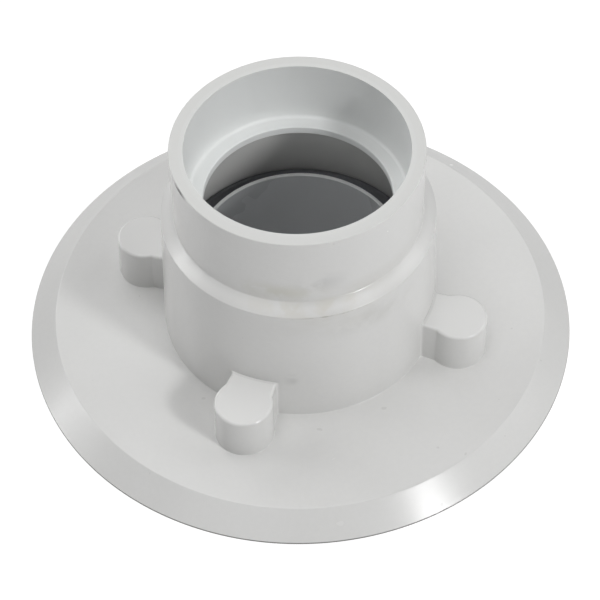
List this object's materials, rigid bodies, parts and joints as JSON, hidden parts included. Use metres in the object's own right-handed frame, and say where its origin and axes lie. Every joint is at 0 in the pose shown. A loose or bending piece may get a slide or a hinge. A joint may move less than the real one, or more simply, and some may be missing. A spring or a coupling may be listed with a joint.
{
  "type": "toilet flange",
  "caption": "Round PVC toilet flange: bevelled plate, stepped hub with a pipe socket, blind screw bosses behind, and a steel bolt ring and push-in throat sleeve on the floor face.",
  "frame": {"origin": "centre of the floor face, on the axis of the bore", "axes": "+Z along the bore from the floor face to the pipe socket; +X and +Y in the floor face, with the bosses 19.7 degrees clockwise of the axes seen from +Z"},
  "size_m": [0.2286, 0.2286, 0.1062],
  "materials": {
    "white_pvc": "satin moulded, grey-white",
    "stainless": "rolled sheet",
    "brass": "turned",
    "black_rubber": "matt"
  },
  "bodies": {
    "flange": {"flange_body": "white_pvc", "ring_gasket": "black_rubber", "boss_insert_1": "brass", "boss_insert_2": "brass", "boss_insert_3": "brass", "boss_insert_4": "brass"},
    "sleeve": {"throat_sleeve": "white_pvc", "collar_o_ring": "black_rubber", "sleeve_lip_seal": "black_rubber"},
    "ring": {"bolt_ring": "stainless"},
    "screw_1": {"ring_screw_1": "stainless"},
    "screw_2": {"ring_screw_2": "stainless"},
    "screw_3": {"ring_screw_3": "stainless"},
    "screw_4": {"ring_screw_4": "stainless"}
  },
  "joints": [
    {"name": "sleeve_pull", "type": "slide", "parent": "flange", "child": "sleeve", "axis": [0, 0, -1], "range_m": [0, 0.055]},
    {"name": "ring_lift", "type": "slide", "parent": "flange", "child": "ring", "axis": [0, 0, -1], "range_m": [0, 0.04]},
    {"name": "screw_1_out", "type": "slide", "parent": "ring", "child": "screw_1", "axis": [0, 0, -1], "range_m": [0, 0.025]},
    {"name": "screw_2_out", "type": "slide", "parent": "ring", "child": "screw_2", "axis": [0, 0, -1], "range_m": [0, 0.025]},
    {"name": "screw_3_out", "type": "slide", "parent": "ring", "child": "screw_3", "axis": [0, 0, -1], "range_m": [0, 0.025]},
    {"name": "screw_4_out", "type": "slide", "parent": "ring", "child": "screw_4", "axis": [0, 0, -1], "range_m": [0, 0.025]}
  ]
}
